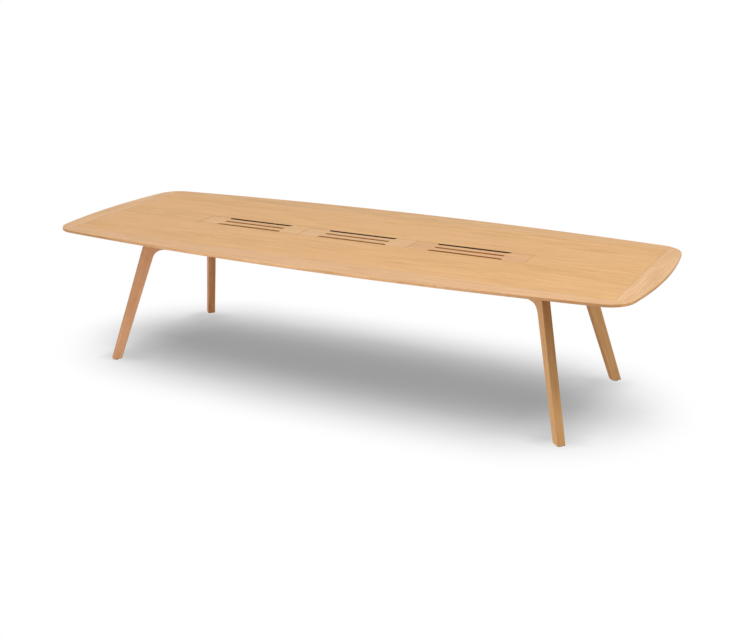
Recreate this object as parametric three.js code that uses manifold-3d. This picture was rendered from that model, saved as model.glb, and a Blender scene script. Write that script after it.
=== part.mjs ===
// Conference table: a boat-shaped oak top on four splayed knee legs, with a cable tray
// below three lift-out lids along its middle. Millimetres, +Z up. The origin lies on the
// floor under the middle of the top, +X runs along the table and +Y to its far side.
import * as THREE from 'three';
import { mergeVertices } from 'three/addons/utils/BufferGeometryUtils.js';
import Module from 'manifold-3d';

const wasm = await Module();
wasm.setup();

// Table top: outline and edge.
const TABLE_LENGTH = 3200;
const TABLE_WIDTH = 1200;
const TABLE_HEIGHT = 725;
const SIDE_BOW = 94.5;
const END_BOW = 69.5;
const CORNER_RADIUS = 134;
const TOP_THICKNESS = 28;
const EDGE_HEIGHT = 14;
const UNDERCUT_RUN = 45;
const TOP_ARRIS = 2;

// Solid border round the veneered field, at its widest, with loose tongues in the seams.
const SIDE_BORDER = 148;
const END_BORDER = 112;
const TONGUE_THICKNESS = 6;
const TONGUE_WIDTH = 24;
const TONGUE_END_STOP = 40;

// Cable lids in one row.
const LID_COUNT = 3;
const LID_LENGTH = 624;
const LID_WIDTH = 140;
const LID_THICKNESS = 18;
const LID_GAP = 1;
const SLOT_LENGTH = 372;
const SLOT_WIDTH = 21;
const NOTCH_LENGTH = 395;
const NOTCH_DEPTH = 21;

// Steel frame that lines the opening and carries the lid ends.
const FRAME_WALL = 2;
const FRAME_SETBACK = 1.5;
const LEDGE_WIDTH = 12;
const LEDGE_THICKNESS = 4;

// Folded steel cable tray.
const TRAY_DEPTH = 80;
const TRAY_SHEET = 2;
const TRAY_FLANGE = 44;
const TRAY_EXIT_WIDTH = 100;
const TRAY_EXIT_HEIGHT = 40;
const TRAY_EXIT_SILL = 12;

// Box beams beside the tray and the plates that tie their ends.
const BEAM_WIDTH = 40;
const BEAM_HEIGHT = 80;
const BEAM_WALL = 2.5;
const BEAM_CORNER = 5;
const BEAM_CLEARANCE = 8;
const BEAM_END_MARGIN = 14;
const TIE_THICKNESS = 6;

// Legs, each in a vertical plane turned by LEG_TURN from the long axis.
const FOOT_END_INSET = 327;
const FOOT_SIDE_INSET = 154;
const LEG_TURN = THREE.MathUtils.degToRad(45);
const LEG_SPLAY = THREE.MathUtils.degToRad(20);
const FOOT_WIDTH = 48.5;
const HEAD_WIDTH = 69;
const LEG_THICKNESS = 42.5;
const LEG_ARRIS = 3.5;
const ARM_DEPTH = 100;
const KNEE_RADIUS = 58;
const TENON_THICKNESS = 12;
const TENON_HEIGHT = 44;
const TENON_IN_LEG = 14;
const TENON_IN_ARM = 26;

// Saddles, through bolts and cleats that hold the arms.
const SADDLE_PLATE = 4;
const SADDLE_LENGTH = 95;
const SADDLE_TOE = 20;
const SADDLE_INSET = 5;
const BOLT_RADIUS = 4;
const BOLT_HEAD_RADIUS = 9;
const BOLT_HEAD_THICKNESS = 3;
const BOLT_FROM_END = 20;
const BOLT_SPACING = 32;
const CLEAT_LENGTH = 60;
const CLEAT_LEAF = 36;
const CLEAT_THICKNESS = 4;
const CLEAT_FROM_SADDLE = 15;

// Glides.
const GLIDE_RADIUS = 15;
const GLIDE_HEIGHT = 4;
const GLIDE_CHAMFER = 1;
const GLIDE_STEM_RADIUS = 4;
const GLIDE_STEM_LENGTH = 18;

// Gap between pieces that touch, and clearance round a pin in its hole.
const FIT = 0.3;
const HOLE_CLEARANCE = 0.4;

// How far a cutting body runs past what it cuts.
const OVERCUT = 20;

// Facets: steps in each arc of the top, in each small arc, and round each pin.
const OUTLINE_STEPS = 16;
const ARC_STEPS = 8;
const ROUND_STEPS = 20;
const ARRIS_STEPS = 3;

// Heights and sizes that follow from the values above.
const TOP_UNDERSIDE = TABLE_HEIGHT - TOP_THICKNESS;
const FOOT_X = TABLE_LENGTH / 2 - FOOT_END_INSET;
const FOOT_Y = TABLE_WIDTH / 2 - FOOT_SIDE_INSET;
const FIELD_LENGTH = TABLE_LENGTH - 2 * END_BORDER;
const FIELD_WIDTH = TABLE_WIDTH - 2 * SIDE_BORDER;
const LID_UNDERSIDE = TABLE_HEIGHT - LID_THICKNESS;
const LID_PITCH = LID_LENGTH + LID_GAP;
const WELL_LENGTH = LID_COUNT * LID_PITCH + LID_GAP;
const WELL_WIDTH = LID_WIDTH + 2 * LID_GAP;
const FRAME_LENGTH = WELL_LENGTH + 2 * FRAME_WALL;
const FRAME_WIDTH = WELL_WIDTH + 2 * FRAME_WALL;
const FLANGE_TOP = TOP_UNDERSIDE - FIT;
const FLANGE_UNDERSIDE = FLANGE_TOP - TRAY_SHEET;
const TRAY_OUTER_WIDTH = WELL_WIDTH + 2 * TRAY_SHEET;
const TRAY_FLOOR = FLANGE_UNDERSIDE - TRAY_DEPTH;
const BEAM_TOP = FLANGE_UNDERSIDE - FIT;
const BEAM_BOTTOM = BEAM_TOP - BEAM_HEIGHT;
const BEAM_INNER_FACE = TRAY_OUTER_WIDTH / 2 + BEAM_CLEARANCE;
const BEAM_OUTER_FACE = BEAM_INNER_FACE + BEAM_WIDTH;
const LEG_BOTTOM = GLIDE_HEIGHT + FIT;
const LEG_TOP = TOP_UNDERSIDE - FIT;
const ARM_UNDERSIDE = TOP_UNDERSIDE - ARM_DEPTH;
const SADDLE_BACK = BEAM_OUTER_FACE + FIT;
const SADDLE_FACE = SADDLE_BACK + SADDLE_PLATE;
const ARM_END = SADDLE_FACE + FIT;
const CHEEK_INNER = LEG_THICKNESS / 2 + FIT;
const CHEEK_OUTER = CHEEK_INNER + SADDLE_PLATE;
const SADDLE_HALF_WIDTH = CHEEK_OUTER + SADDLE_TOE;
const SADDLE_BOTTOM = BEAM_BOTTOM + SADDLE_INSET;
const SADDLE_TOP = BEAM_TOP - SADDLE_INSET;
const SADDLE_TIP = alongLeg(SADDLE_FACE, 0, 1) + SADDLE_LENGTH;
const BOLT_HEIGHT = (SADDLE_BOTTOM + SADDLE_TOP) / 2;
const BEAM_HALF_LENGTH = Math.max(saddleOuterX(), FRAME_LENGTH / 2) + BEAM_END_MARGIN;

const FINISHES = {
  field: { color: 0xdcb186, roughness: 0.48, metalness: 0 },
  border: { color: 0xdfb38a, roughness: 0.48, metalness: 0 },
  lid: { color: 0xdeb48b, roughness: 0.48, metalness: 0 },
  leg: { color: 0xc39566, roughness: 0.5, metalness: 0 },
  joinery: { color: 0xc9a57a, roughness: 0.7, metalness: 0 },
  steel: { color: 0x1c1b1a, roughness: 0.55, metalness: 0.4 },
  zinc: { color: 0xa9adb0, roughness: 0.35, metalness: 0.9 },
  glide: { color: 0x2a2826, roughness: 0.6, metalness: 0 },
};

// Closed solid of a geometry, with shared vertices merged.
function solid(geometry) {
  const bare = geometry.clone();
  bare.deleteAttribute('normal');
  bare.deleteAttribute('uv');
  const merged = mergeVertices(bare);
  const triVerts = new Uint32Array(merged.index.array);
  const vertProperties = new Float32Array(merged.attributes.position.array);
  return new wasm.Manifold(new wasm.Mesh({ numProp: 3, vertProperties, triVerts }));
}

// Geometry of a solid, flat shaded.
function geometryOf(body) {
  const mesh = body.getMesh();
  const geometry = new THREE.BufferGeometry();
  const points = new Float32Array(mesh.vertProperties);
  geometry.setAttribute('position', new THREE.BufferAttribute(points, 3));
  geometry.setIndex(new THREE.BufferAttribute(new Uint32Array(mesh.triVerts), 1));
  geometry.computeVertexNormals();
  return geometry;
}

// Named piece with a material of its own.
function piece(name, shape, finish) {
  const geometry = shape.isBufferGeometry ? shape : geometryOf(shape);
  const mesh = new THREE.Mesh(geometry, new THREE.MeshStandardMaterial(FINISHES[finish]));
  mesh.name = name;
  return mesh;
}

function box(x0, x1, y0, y1, z0, z1) {
  const geometry = new THREE.BoxGeometry(x1 - x0, y1 - y0, z1 - z0);
  return geometry.translate((x0 + x1) / 2, (y0 + y1) / 2, (z0 + z1) / 2);
}

// Plan outline raised between two heights.
function prism(shape, z0, z1) {
  const settings = { depth: z1 - z0, bevelEnabled: false, curveSegments: ARC_STEPS };
  return new THREE.ExtrudeGeometry(shape, settings).translate(0, 0, z0);
}

// Outline drawn in a leg's own plane, across the leg's thickness direction.
function slabInLegPlane(shape, thickness, arris) {
  const settings = {
    depth: thickness - 2 * arris,
    bevelEnabled: arris > 0,
    bevelThickness: arris,
    bevelSize: arris,
    bevelOffset: -arris,
    bevelSegments: ARRIS_STEPS,
    curveSegments: ARC_STEPS,
  };
  const geometry = new THREE.ExtrudeGeometry(shape, settings);
  geometry.translate(0, 0, arris - thickness / 2);
  return geometry.rotateX(Math.PI / 2);
}

// Outline drawn across the table, drawn out along X.
function runAlongX(shape, length) {
  const settings = { depth: length, bevelEnabled: false, curveSegments: ARC_STEPS / 4 };
  const geometry = new THREE.ExtrudeGeometry(shape, settings);
  geometry.translate(0, 0, -length / 2);
  geometry.rotateX(Math.PI / 2);
  return geometry.rotateZ(Math.PI / 2);
}

function polygon(points) {
  return new THREE.Shape(points.map(([x, y]) => new THREE.Vector2(x, y)));
}

function rectangle(width, height) {
  const x = width / 2;
  const y = height / 2;
  return polygon([[-x, -y], [x, -y], [x, y], [-x, y]]);
}

function roundedRectangle(width, height, corner) {
  const x = width / 2;
  const y = height / 2;
  const shape = new THREE.Shape();
  shape.moveTo(x - corner, -y);
  shape.quadraticCurveTo(x, -y, x, corner - y);
  shape.lineTo(x, y - corner);
  shape.quadraticCurveTo(x, y, x - corner, y);
  shape.lineTo(corner - x, y);
  shape.quadraticCurveTo(-x, y, -x, y - corner);
  shape.lineTo(-x, corner - y);
  shape.quadraticCurveTo(-x, -y, corner - x, -y);
  return shape;
}

// Pin along Y or Z, for holes.
function rod(radius, length) {
  return new THREE.CylinderGeometry(radius, radius, length, ROUND_STEPS);
}

// Radius of an arc that rises by a bow over half its chord.
function arcRadius(halfChord, bow) {
  return (halfChord * halfChord + bow * bow) / (2 * bow);
}

function arcPoints(centreX, centreY, radius, from, to) {
  const points = [];
  for (let step = 0; step < OUTLINE_STEPS; step += 1) {
    const angle = from + ((to - from) * step) / OUTLINE_STEPS;
    points.push([centreX + radius * Math.cos(angle), centreY + radius * Math.sin(angle)]);
  }
  return points;
}

// Leg coordinate (outwards along the leg's plane) of the line y = level, at a side step.
function alongLeg(level, side, hand) {
  return (level - FOOT_Y - hand * Math.cos(LEG_TURN) * side) / Math.sin(LEG_TURN);
}

// Furthest reach along X of the saddle's foot plate.
function saddleOuterX() {
  const side = -SADDLE_HALF_WIDTH;
  const reach = alongLeg(SADDLE_FACE, side, 1);
  return FOOT_X + reach * Math.cos(LEG_TURN) - side * Math.sin(LEG_TURN);
}

// Boat-shaped plan: bowed sides and ends, with a corner circle that touches both arcs.
function topPlan() {
  const sideRadius = arcRadius(TABLE_LENGTH / 2, SIDE_BOW);
  const endRadius = arcRadius(TABLE_WIDTH / 2, END_BOW);
  const sideY = TABLE_WIDTH / 2 - sideRadius;
  const endX = TABLE_LENGTH / 2 - endRadius;
  const apart = Math.hypot(endX, sideY);
  const dirX = endX / apart;
  const dirY = -sideY / apart;
  const toSide = sideRadius - CORNER_RADIUS;
  const toEnd = endRadius - CORNER_RADIUS;
  const along = (toSide * toSide - toEnd * toEnd + apart * apart) / (2 * apart);
  const aside = Math.sqrt(toSide * toSide - along * along);
  const cornerX = dirX * along + dirY * aside;
  const cornerY = sideY + dirY * along - dirX * aside;
  const endTurn = Math.atan2(cornerY, cornerX - endX);
  const sideTurn = Math.atan2(cornerY - sideY, cornerX);
  const half = Math.PI;
  const full = 2 * Math.PI;
  return polygon([
    ...arcPoints(endX, 0, endRadius, -endTurn, endTurn),
    ...arcPoints(cornerX, cornerY, CORNER_RADIUS, endTurn, sideTurn),
    ...arcPoints(0, sideY, sideRadius, sideTurn, half - sideTurn),
    ...arcPoints(-cornerX, cornerY, CORNER_RADIUS, half - sideTurn, half - endTurn),
    ...arcPoints(-endX, 0, endRadius, half - endTurn, half + endTurn),
    ...arcPoints(-cornerX, -cornerY, CORNER_RADIUS, half + endTurn, half + sideTurn),
    ...arcPoints(0, -sideY, sideRadius, half + sideTurn, full - sideTurn),
    ...arcPoints(cornerX, -cornerY, CORNER_RADIUS, full - sideTurn, full - endTurn),
  ]);
}

// Whole top with a rounded upper arris and an edge that is undercut to look thin.
function wholeTop() {
  const plan = topPlan();
  const rounded = new THREE.ExtrudeGeometry(plan, {
    depth: TOP_THICKNESS + OVERCUT - 2 * TOP_ARRIS,
    bevelThickness: TOP_ARRIS,
    bevelSize: TOP_ARRIS,
    bevelOffset: -TOP_ARRIS,
    bevelSegments: ARRIS_STEPS,
  });
  rounded.translate(0, 0, TOP_UNDERSIDE - OVERCUT + TOP_ARRIS);
  const run = UNDERCUT_RUN + OVERCUT;
  const rise = ((TOP_THICKNESS - EDGE_HEIGHT) * run) / UNDERCUT_RUN;
  const undercut = new THREE.ExtrudeGeometry(plan, {
    depth: TOP_THICKNESS + OVERCUT,
    bevelThickness: rise,
    bevelSize: run,
    bevelOffset: -UNDERCUT_RUN,
    bevelSegments: 1,
  });
  undercut.translate(0, 0, TOP_UNDERSIDE + rise);
  return solid(rounded).intersect(solid(undercut));
}

// Loose tongue along one seam of the field, or its groove when grown by a clearance.
function sideTongue(sign, grow) {
  const x = FIELD_LENGTH / 2 - TONGUE_END_STOP + grow;
  const y = (sign * (FIELD_WIDTH + FIT)) / 2;
  return tongueBox(-x, x, y - TONGUE_WIDTH / 2 - grow, y + TONGUE_WIDTH / 2 + grow, grow);
}

function endTongue(sign, grow) {
  const x = (sign * (FIELD_LENGTH + FIT)) / 2;
  const y = FIELD_WIDTH / 2 - TONGUE_END_STOP + grow;
  return tongueBox(x - TONGUE_WIDTH / 2 - grow, x + TONGUE_WIDTH / 2 + grow, -y, y, grow);
}

function tongueBox(x0, x1, y0, y1, grow) {
  const middle = TABLE_HEIGHT - TOP_THICKNESS / 2;
  const half = TONGUE_THICKNESS / 2 + grow;
  return box(x0, x1, y0, y1, middle - half, middle + half);
}

function fieldPanel() {
  const plan = rectangle(FIELD_LENGTH, FIELD_WIDTH);
  plan.holes.push(rectangle(FRAME_LENGTH + 2 * FIT, FRAME_WIDTH + 2 * FIT));
  let panel = solid(prism(plan, TOP_UNDERSIDE, TABLE_HEIGHT));
  for (const sign of [-1, 1]) {
    panel = panel.subtract(solid(sideTongue(sign, FIT)));
    panel = panel.subtract(solid(endTongue(sign, FIT)));
  }
  return panel;
}

// Border beside the field: a wedge of the whole top between two mitre cuts.
function sideBorder(top, sign) {
  const reach = SIDE_BORDER + OVERCUT;
  const x = FIELD_LENGTH / 2;
  const y = FIELD_WIDTH / 2 + FIT;
  const wedge = polygon([
    [-x, sign * y],
    [x, sign * y],
    [x + reach, sign * (y + reach)],
    [-x - reach, sign * (y + reach)],
  ]);
  const cut = solid(prism(wedge, TOP_UNDERSIDE - OVERCUT, TABLE_HEIGHT + OVERCUT));
  return top.intersect(cut).subtract(solid(sideTongue(sign, FIT)));
}

function endBorder(top, sign) {
  const reach = END_BORDER + OVERCUT;
  const x = FIELD_LENGTH / 2 + FIT;
  const y = FIELD_WIDTH / 2;
  const wedge = polygon([
    [sign * x, -y],
    [sign * x, y],
    [sign * (x + reach), y + reach],
    [sign * (x + reach), -y - reach],
  ]);
  const cut = solid(prism(wedge, TOP_UNDERSIDE - OVERCUT, TABLE_HEIGHT + OVERCUT));
  return top.intersect(cut).subtract(solid(endTongue(sign, FIT)));
}

// Lid with a middle slot and, in both long edges, a notch with rounded inner corners.
function lidPlan() {
  const x = LID_LENGTH / 2;
  const y = LID_WIDTH / 2;
  const notch = NOTCH_LENGTH / 2;
  const floor = notch - NOTCH_DEPTH;
  const quarter = Math.PI / 2;
  const shape = new THREE.Shape();
  shape.moveTo(-x, -y);
  shape.lineTo(-notch, -y);
  shape.absarc(-floor, -y, NOTCH_DEPTH, 2 * quarter, quarter, true);
  shape.lineTo(floor, NOTCH_DEPTH - y);
  shape.absarc(floor, -y, NOTCH_DEPTH, quarter, 0, true);
  shape.lineTo(x, -y);
  shape.lineTo(x, y);
  shape.lineTo(notch, y);
  shape.absarc(floor, y, NOTCH_DEPTH, 0, -quarter, true);
  shape.lineTo(-floor, y - NOTCH_DEPTH);
  shape.absarc(-floor, y, NOTCH_DEPTH, -quarter, -2 * quarter, true);
  shape.lineTo(-x, y);
  const slotEnd = (SLOT_LENGTH - SLOT_WIDTH) / 2;
  const slot = new THREE.Path();
  slot.absarc(slotEnd, 0, SLOT_WIDTH / 2, -quarter, quarter, false);
  slot.absarc(-slotEnd, 0, SLOT_WIDTH / 2, quarter, 3 * quarter, false);
  shape.holes.push(slot);
  return shape;
}

// Middle of each lid, counted from the left.
function lidX(index) {
  return (index - (LID_COUNT - 1) / 2) * LID_PITCH;
}

// Upright wall round the opening, with a ledge at each end and a bar below each lid joint.
function lidFrame() {
  const plan = rectangle(FRAME_LENGTH, FRAME_WIDTH);
  plan.holes.push(rectangle(WELL_LENGTH, WELL_WIDTH));
  let frame = solid(prism(plan, TOP_UNDERSIDE, TABLE_HEIGHT - FRAME_SETBACK));
  const y = (WELL_WIDTH + FRAME_WALL) / 2;
  const top = LID_UNDERSIDE - FIT;
  const bar = (x0, x1) => solid(box(x0, x1, -y, y, top - LEDGE_THICKNESS, top));
  const wall = (WELL_LENGTH + FRAME_WALL) / 2;
  const lip = lidX(LID_COUNT - 1) + LID_LENGTH / 2 - LEDGE_WIDTH;
  frame = frame.add(bar(lip, wall)).add(bar(-wall, -lip));
  for (let index = 1; index < LID_COUNT; index += 1) {
    const joint = (lidX(index - 1) + lidX(index)) / 2;
    const half = LID_GAP / 2 + LEDGE_WIDTH;
    frame = frame.add(bar(joint - half, joint + half));
  }
  return frame;
}

// Hat-section tray that hangs by its flanges between the beams and the top.
function cableTray() {
  const inner = WELL_WIDTH / 2;
  const outer = TRAY_OUTER_WIDTH / 2;
  const lip = outer + TRAY_FLANGE;
  const base = TRAY_FLOOR - TRAY_SHEET;
  const section = polygon([
    [-lip, FLANGE_TOP],
    [-inner, FLANGE_TOP],
    [-inner, TRAY_FLOOR],
    [inner, TRAY_FLOOR],
    [inner, FLANGE_TOP],
    [lip, FLANGE_TOP],
    [lip, FLANGE_UNDERSIDE],
    [outer, FLANGE_UNDERSIDE],
    [outer, base],
    [-outer, base],
    [-outer, FLANGE_UNDERSIDE],
    [-lip, FLANGE_UNDERSIDE],
  ]);
  const wall = polygon([
    [-outer, base],
    [outer, base],
    [outer, FLANGE_TOP],
    [-outer, FLANGE_TOP],
  ]);
  const sill = TRAY_FLOOR + TRAY_EXIT_SILL;
  const exit = polygon([
    [-TRAY_EXIT_WIDTH / 2, sill],
    [TRAY_EXIT_WIDTH / 2, sill],
    [TRAY_EXIT_WIDTH / 2, sill + TRAY_EXIT_HEIGHT],
    [-TRAY_EXIT_WIDTH / 2, sill + TRAY_EXIT_HEIGHT],
  ]);
  wall.holes.push(exit);
  let tray = solid(runAlongX(section, FRAME_LENGTH));
  const end = (FRAME_LENGTH - TRAY_SHEET) / 2;
  for (const sign of [-1, 1]) {
    tray = tray.add(solid(runAlongX(wall, TRAY_SHEET).translate(sign * end, 0, 0)));
  }
  return tray;
}

function boxBeam(sign) {
  const section = roundedRectangle(BEAM_WIDTH, BEAM_HEIGHT, BEAM_CORNER);
  const bore = [BEAM_WIDTH - 2 * BEAM_WALL, BEAM_HEIGHT - 2 * BEAM_WALL];
  section.holes.push(roundedRectangle(...bore, BEAM_CORNER - BEAM_WALL));
  const y = sign * (BEAM_INNER_FACE + BEAM_WIDTH / 2);
  return runAlongX(section, 2 * BEAM_HALF_LENGTH).translate(0, y, BEAM_BOTTOM + BEAM_HEIGHT / 2);
}

function endTie(sign) {
  const inner = BEAM_HALF_LENGTH + FIT;
  const plate = box(
    inner, inner + TIE_THICKNESS,
    -BEAM_OUTER_FACE, BEAM_OUTER_FACE,
    BEAM_BOTTOM, BEAM_TOP,
  );
  return sign > 0 ? plate : plate.rotateZ(Math.PI);
}

// Leg edges in the leg's plane: half width of the taper and lean of the middle line.
function legEdge(height, side) {
  const share = height / TOP_UNDERSIDE;
  const width = FOOT_WIDTH + (HEAD_WIDTH - FOOT_WIDTH) * share;
  return (side * width) / 2 - height * Math.tan(LEG_SPLAY);
}

// Centre of the knee's inner round and the turn at which it meets the leg.
function kneeRound() {
  const lean = legEdge(0, -1) - legEdge(1, -1);
  const height = ARM_UNDERSIDE - KNEE_RADIUS;
  const reach = legEdge(height, -1) - KNEE_RADIUS * Math.hypot(1, lean);
  return { reach, height, turn: Math.atan(lean) };
}

// Knee: tapered leg and level arm as one outline, later parted by the mitre.
function kneeSolid() {
  const round = kneeRound();
  const above = LEG_TOP + OVERCUT;
  const inner = alongLeg(ARM_END, 0, 1) - 2 * LEG_THICKNESS;
  const shape = new THREE.Shape();
  shape.moveTo(legEdge(LEG_BOTTOM, -1), LEG_BOTTOM);
  shape.lineTo(legEdge(LEG_BOTTOM, 1), LEG_BOTTOM);
  shape.lineTo(legEdge(above, 1), above);
  shape.lineTo(inner, above);
  shape.lineTo(inner, ARM_UNDERSIDE);
  shape.lineTo(round.reach, ARM_UNDERSIDE);
  shape.absarc(round.reach, round.height, KNEE_RADIUS, Math.PI / 2, round.turn, true);
  const knee = solid(slabInLegPlane(shape, LEG_THICKNESS, LEG_ARRIS));
  const side = LEG_THICKNESS;
  const lid = box(inner - OVERCUT, legEdge(0, 1) + OVERCUT, -side, side, LEG_TOP, above + OVERCUT);
  return knee.subtract(solid(lid));
}

// Mitre from the middle of the knee's round to the outer top corner of the leg.
function mitre() {
  const round = kneeRound();
  const turn = (Math.PI / 2 + round.turn) / 2;
  const low = new THREE.Vector2(
    round.reach + KNEE_RADIUS * Math.cos(turn),
    round.height + KNEE_RADIUS * Math.sin(turn),
  );
  const high = new THREE.Vector2(legEdge(LEG_TOP, 1), LEG_TOP);
  const up = high.clone().sub(low).normalize();
  const out = new THREE.Vector2(up.y, -up.x);
  return { middle: low.clone().add(high).divideScalar(2), up, out };
}

// Everything on one side of the mitre: the leg outwards of it or the arm inwards.
function mitreSide(side) {
  const { middle, up, out } = mitre();
  const span = TABLE_HEIGHT + TABLE_WIDTH;
  const near = middle.clone().addScaledVector(out, (side * FIT) / 2);
  const far = middle.clone().addScaledVector(out, side * span);
  const corners = [
    near.clone().addScaledVector(up, -span),
    near.clone().addScaledVector(up, span),
    far.clone().addScaledVector(up, span),
    far.clone().addScaledVector(up, -span),
  ];
  return solid(slabInLegPlane(new THREE.Shape(corners), 2 * LEG_THICKNESS, 0));
}

// Loose tenon across the mitre, or its mortise when grown by a clearance.
function kneeTenon(grow) {
  const { middle, up, out } = mitre();
  const length = TENON_IN_LEG + TENON_IN_ARM + 2 * grow;
  const shift = (TENON_IN_LEG - TENON_IN_ARM) / 2;
  const block = new THREE.BoxGeometry(length, TENON_THICKNESS + 2 * grow, TENON_HEIGHT + 2 * grow);
  block.translate(shift, 0, 0);
  block.rotateY(Math.atan2(up.x, up.y));
  return block.translate(middle.x, 0, middle.y);
}

function kneeLeg(knee) {
  const bore = rod(GLIDE_STEM_RADIUS + HOLE_CLEARANCE, 2 * (GLIDE_STEM_LENGTH + HOLE_CLEARANCE));
  bore.rotateX(Math.PI / 2).translate(0, 0, GLIDE_HEIGHT);
  return knee.intersect(mitreSide(1)).subtract(solid(kneeTenon(FIT))).subtract(solid(bore));
}

// Places of the bolts along the arm, from the saddle's tip inwards.
function boltReach(index) {
  return SADDLE_TIP - BOLT_FROM_END - index * BOLT_SPACING;
}

// Arm with its inner end cut along the beam and drilled for the saddle's bolts.
function kneeArm(knee, hand) {
  const side = LEG_THICKNESS;
  const deep = alongLeg(ARM_END, 0, 1) - 4 * LEG_THICKNESS;
  const offcut = polygon([
    [alongLeg(ARM_END, -side, hand), -side],
    [alongLeg(ARM_END, side, hand), side],
    [deep, side],
    [deep, -side],
  ]);
  let arm = knee.intersect(mitreSide(-1)).subtract(solid(kneeTenon(FIT)));
  arm = arm.subtract(solid(prism(offcut, ARM_UNDERSIDE - OVERCUT, LEG_TOP + OVERCUT)));
  for (const index of [0, 1]) {
    arm = arm.subtract(solid(boltHole(index)));
  }
  return arm;
}

function boltHole(index) {
  const hole = rod(BOLT_RADIUS + HOLE_CLEARANCE, 2 * (CHEEK_OUTER + OVERCUT));
  return hole.translate(boltReach(index), 0, BOLT_HEIGHT);
}

// Welded saddle: a foot plate along the beam and a cheek on both sides of the arm.
function saddle(hand) {
  const at = (level, side) => [alongLeg(level, side, hand), side];
  const plan = polygon([
    at(SADDLE_BACK, -SADDLE_HALF_WIDTH),
    at(SADDLE_BACK, SADDLE_HALF_WIDTH),
    at(SADDLE_FACE, SADDLE_HALF_WIDTH),
    at(SADDLE_FACE, CHEEK_OUTER),
    [SADDLE_TIP, CHEEK_OUTER],
    [SADDLE_TIP, CHEEK_INNER],
    at(SADDLE_FACE, CHEEK_INNER),
    at(SADDLE_FACE, -CHEEK_INNER),
    [SADDLE_TIP, -CHEEK_INNER],
    [SADDLE_TIP, -CHEEK_OUTER],
    at(SADDLE_FACE, -CHEEK_OUTER),
    at(SADDLE_FACE, -SADDLE_HALF_WIDTH),
  ]);
  let body = solid(prism(plan, SADDLE_BOTTOM, SADDLE_TOP));
  for (const index of [0, 1]) {
    body = body.subtract(solid(boltHole(index)));
  }
  return body;
}

// Connector bolt through both cheeks, with a flat round head at each end.
function saddleBolt(index) {
  const inner = CHEEK_OUTER + FIT;
  const outer = inner + BOLT_HEAD_THICKNESS;
  const profile = [
    [0, -outer],
    [BOLT_HEAD_RADIUS, -outer],
    [BOLT_HEAD_RADIUS, -inner],
    [BOLT_RADIUS, -inner],
    [BOLT_RADIUS, inner],
    [BOLT_HEAD_RADIUS, inner],
    [BOLT_HEAD_RADIUS, outer],
    [0, outer],
  ].map(([radius, along]) => new THREE.Vector2(radius, along));
  const bolt = new THREE.LatheGeometry(profile, ROUND_STEPS);
  return bolt.translate(boltReach(index), 0, BOLT_HEIGHT);
}

// Angle cleat between the arm's side and the underside of the top.
function cleat(hand) {
  const side = CHEEK_INNER;
  const section = polygon([
    [hand * side, LEG_TOP],
    [hand * side, LEG_TOP - CLEAT_LEAF],
    [hand * (side + CLEAT_THICKNESS), LEG_TOP - CLEAT_LEAF],
    [hand * (side + CLEAT_THICKNESS), LEG_TOP - CLEAT_THICKNESS],
    [hand * (side + CLEAT_LEAF), LEG_TOP - CLEAT_THICKNESS],
    [hand * (side + CLEAT_LEAF), LEG_TOP],
  ]);
  const middle = SADDLE_TIP + CLEAT_FROM_SADDLE + CLEAT_LENGTH / 2;
  return runAlongX(section, CLEAT_LENGTH).translate(middle, 0, 0);
}

// Round glide with a stem pressed up into the leg.
function glide() {
  const profile = [
    [0, 0],
    [GLIDE_RADIUS - GLIDE_CHAMFER, 0],
    [GLIDE_RADIUS, GLIDE_CHAMFER],
    [GLIDE_RADIUS, GLIDE_HEIGHT],
    [GLIDE_STEM_RADIUS, GLIDE_HEIGHT],
    [GLIDE_STEM_RADIUS, GLIDE_HEIGHT + GLIDE_STEM_LENGTH],
    [0, GLIDE_HEIGHT + GLIDE_STEM_LENGTH],
  ].map(([radius, up]) => new THREE.Vector2(radius, up));
  return new THREE.LatheGeometry(profile, ROUND_STEPS).rotateX(Math.PI / 2);
}

const table = new THREE.Group();

const top = wholeTop();
table.add(piece('top_field', fieldPanel(), 'field'));
for (const [side, sign] of [['near', -1], ['far', 1]]) {
  table.add(piece(`top_side_${side}`, sideBorder(top, sign), 'border'));
  table.add(piece(`tongue_${side}`, sideTongue(sign, 0), 'joinery'));
  table.add(piece(`beam_${side}`, boxBeam(sign), 'steel'));
}
for (const [end, sign] of [['left', -1], ['right', 1]]) {
  table.add(piece(`top_end_${end}`, endBorder(top, sign), 'border'));
  table.add(piece(`tongue_${end}`, endTongue(sign, 0), 'joinery'));
  table.add(piece(`end_tie_${end}`, endTie(sign), 'steel'));
}

table.add(piece('lid_frame', lidFrame(), 'steel'));
table.add(piece('cable_tray', cableTray(), 'steel'));
for (let index = 0; index < LID_COUNT; index += 1) {
  const lid = piece(`lid_${index + 1}`, prism(lidPlan(), 0, LID_THICKNESS), 'lid');
  lid.position.set(lidX(index), 0, LID_UNDERSIDE);
  table.add(lid);
}

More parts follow.
